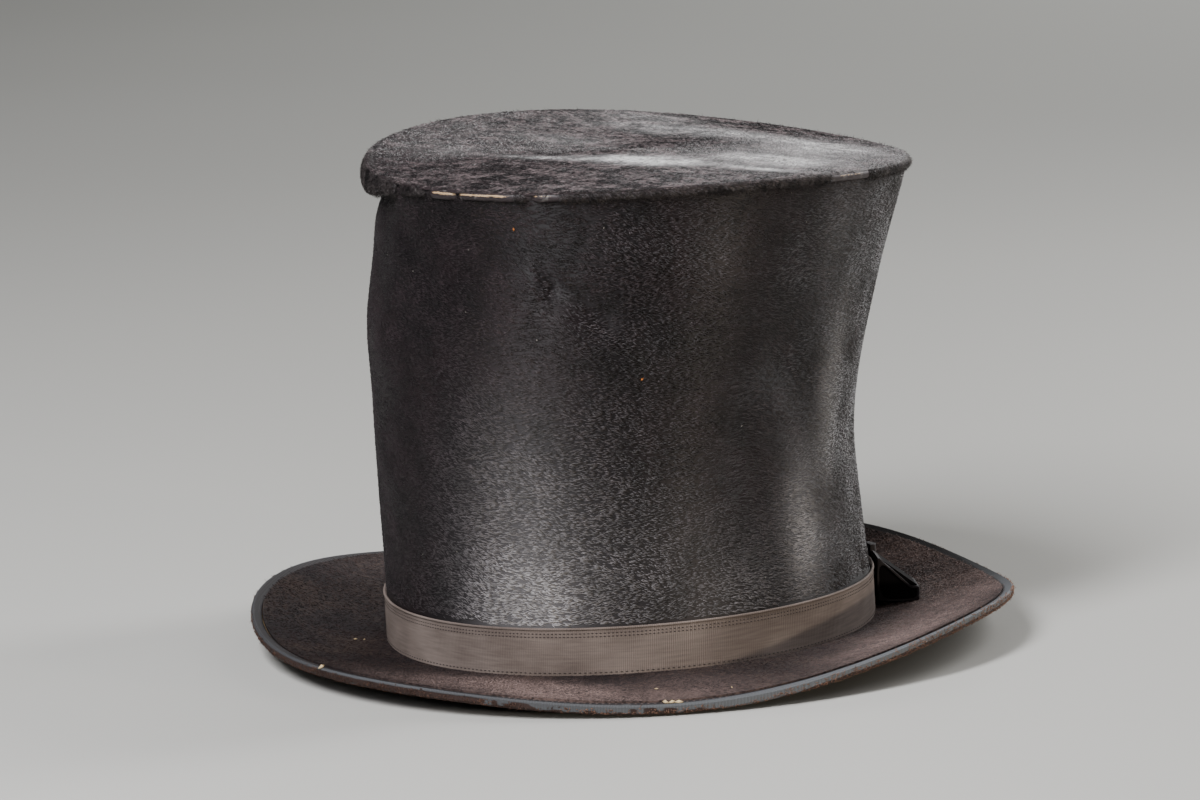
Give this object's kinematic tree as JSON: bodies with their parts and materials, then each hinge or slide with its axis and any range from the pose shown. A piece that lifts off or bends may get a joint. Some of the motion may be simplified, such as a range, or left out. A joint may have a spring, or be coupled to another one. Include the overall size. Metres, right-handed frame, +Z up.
{
  "type": "top hat",
  "caption": "Tall bell-topped plush hat with a curled oval brim, ribbon band with a side bow, bound edge, leather sweatband and lining; worn on the head.",
  "frame": {"origin": "middle of the hat's outline, on the plane that the flat ring under the brim stands on", "axes": "+Z up through the crown, -Y the front of the hat, +X the wearer's left, where the bow is"},
  "size_m": [0.269, 0.296, 0.1764],
  "materials": {
    "crown_plush": "black silk plush, brushed nap with a blue-grey sheen",
    "brim_plush": "short felted plush, faded to a reddish brown-black",
    "gossamer": "shellacked muslin, stiff, straw brown",
    "brim_cloth": "short felted plush like the top's, worn to reddish brown",
    "band_ribbon": "grosgrain, black faded to grey-brown",
    "bow_ribbon": "grosgrain, black",
    "binding_ribbon": "ribbed silk ribbon, blue-grey where faded, frayed brown at the edge",
    "leather": "thin brown sheepskin, satin",
    "lining": "cream silk"
  },
  "bodies": {
    "root": {"crown_shell": "gossamer", "tip_shell": "gossamer", "brim_shell": "gossamer", "brim_collar": "gossamer", "crown_plush": "crown_plush", "tip_plush": "crown_plush", "brim_top_plush": "brim_plush", "brim_under_cloth": "brim_cloth", "brim_binding": "binding_ribbon", "hat_band": "band_ribbon", "bow_knot": "bow_ribbon", "bow_front_loop": "bow_ribbon", "bow_rear_loop": "bow_ribbon", "sweatband": "leather", "sweatband_bow": "bow_ribbon", "side_lining": "lining", "tip_lining": "lining"}
  },
  "joints": []
}
